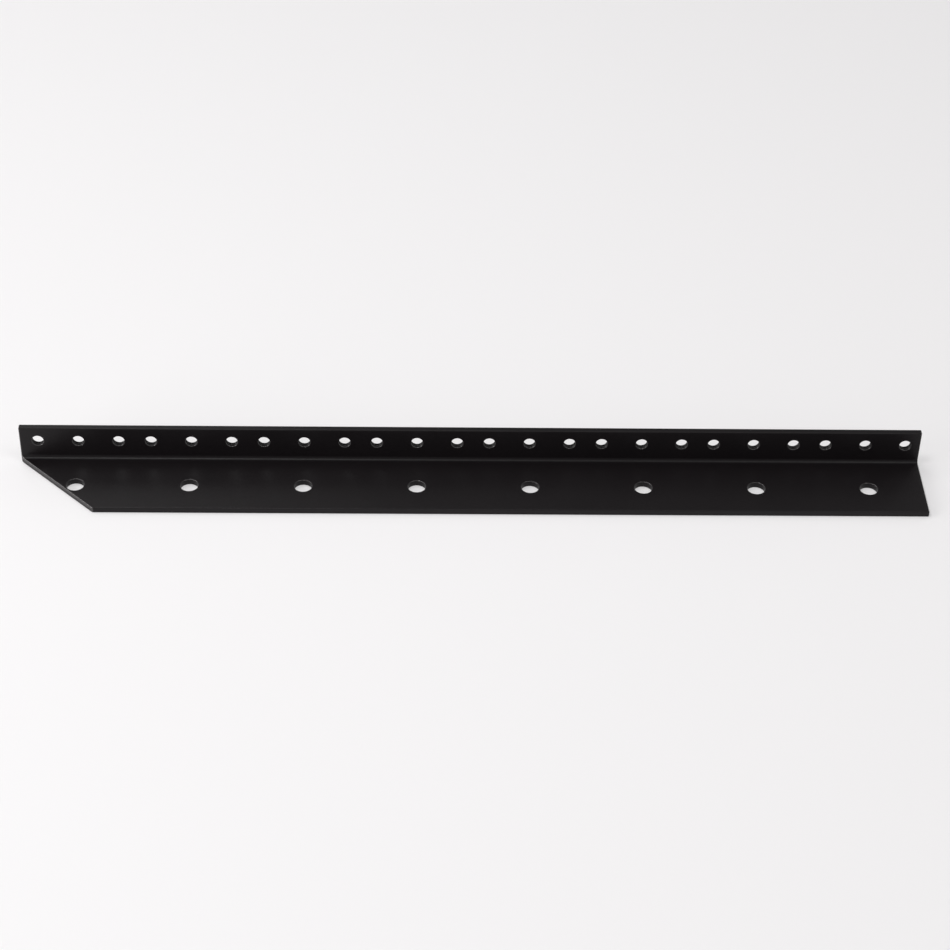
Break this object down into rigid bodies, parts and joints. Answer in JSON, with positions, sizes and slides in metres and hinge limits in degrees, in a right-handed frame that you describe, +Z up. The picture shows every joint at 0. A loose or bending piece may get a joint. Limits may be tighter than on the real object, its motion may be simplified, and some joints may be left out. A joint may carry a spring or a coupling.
{
  "type": "rack rail",
  "caption": "Black steel angle rail with threaded holes at rack spacing along its short leg, plain fixing holes along its long leg and a cropped corner.",
  "frame": {"origin": "under the middle of the rail's box, on the plane of the side leg's outer face", "axes": "+X along the rail, away from the cropped end; +Y from the side leg's free edge to the panel leg; +Z up the panel leg"},
  "size_m": [0.356, 0.0334, 0.017],
  "materials": {
    "black_coat": "semi-gloss black powder coat on steel"
  },
  "bodies": {
    "root": {"rail": "black_coat"}
  },
  "joints": []
}
